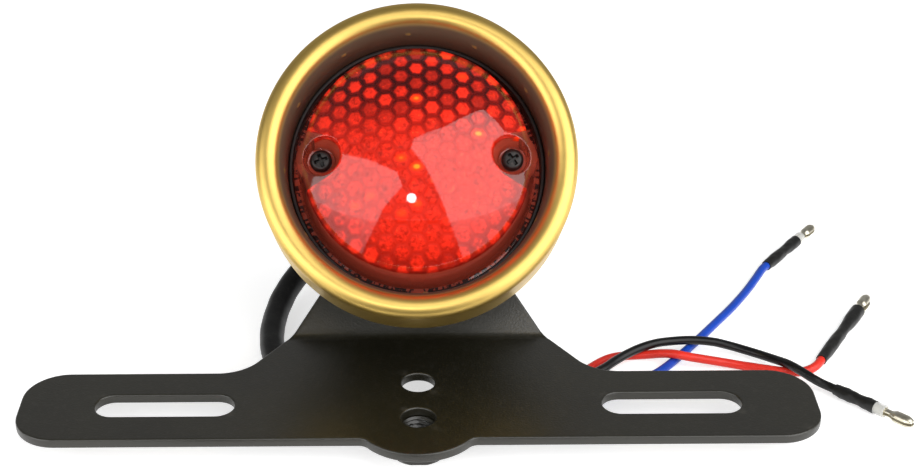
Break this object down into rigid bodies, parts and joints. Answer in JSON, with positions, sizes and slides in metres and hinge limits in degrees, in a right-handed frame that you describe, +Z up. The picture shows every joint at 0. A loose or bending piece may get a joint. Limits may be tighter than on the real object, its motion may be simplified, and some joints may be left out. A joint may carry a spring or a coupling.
{
  "type": "tail light",
  "caption": "Round red tail light in a rolled gold bezel on a bent black number-plate bracket, with its sleeved loom and wires.",
  "frame": {"origin": "on the axis of the weld nut, at the nut's lower face, on which the bracket stands", "axes": "+X to the right along the plate bar, +Y to the rear, +Z up, square to the plate bar"},
  "size_m": [0.228, 0.1297, 0.0978],
  "materials": {
    "black_powder_coat": "fine-textured matt powder coat",
    "black_rubber": "matt moulded rubber",
    "black_body": "die-cast, satin black coat",
    "black_steel": "black-passivated steel",
    "zinc_steel": "bright zinc plate",
    "board_green": "glass-fibre board with solder resist",
    "led_resin": "clear moulded resin",
    "resistor_tan": "lacquered body",
    "black_resin": "moulded resin",
    "silvered_plastic": "vacuum-metallised plastic",
    "lead_insulation": "vinyl insulation",
    "satin_gold": "satin gold plating",
    "red_lens": "clear red acrylic with prism cells",
    "black_vinyl": "soft black vinyl sleeve",
    "black_wire": "vinyl insulation",
    "red_wire": "vinyl insulation",
    "blue_wire": "vinyl insulation",
    "heat_shrink": "shrunk polyolefin sleeve",
    "clear_vinyl": "clear vinyl sleeve",
    "tinned_brass": "thin tin plate over brass"
  },
  "bodies": {
    "root": {"mounting_bracket": "black_powder_coat", "weld_nut": "black_powder_coat", "mounting_pad": "black_rubber", "lamp_body": "black_body", "mounting_screws": "black_steel", "flat_washers": "zinc_steel", "spring_washers": "zinc_steel", "cable_grommet": "black_rubber", "circuit_board": "board_green", "board_screws": "zinc_steel", "led_emitters": "led_resin", "resistors": "resistor_tan", "polarity_diode": "black_resin", "led_reflector": "silvered_plastic", "board_leads": "lead_insulation", "bezel": "satin_gold", "lens_gasket": "black_rubber", "tail_lens": "red_lens", "lens_screws": "black_steel", "loom_sleeve": "black_vinyl", "wire_black": "black_wire", "wire_red": "red_wire", "wire_blue": "blue_wire", "heat_shrink_black": "heat_shrink", "heat_shrink_red": "heat_shrink", "heat_shrink_blue": "heat_shrink", "clear_sleeve_black": "clear_vinyl", "clear_sleeve_blue": "clear_vinyl", "bullet_black": "tinned_brass", "bullet_red": "tinned_brass", "bullet_blue": "tinned_brass"}
  },
  "joints": []
}
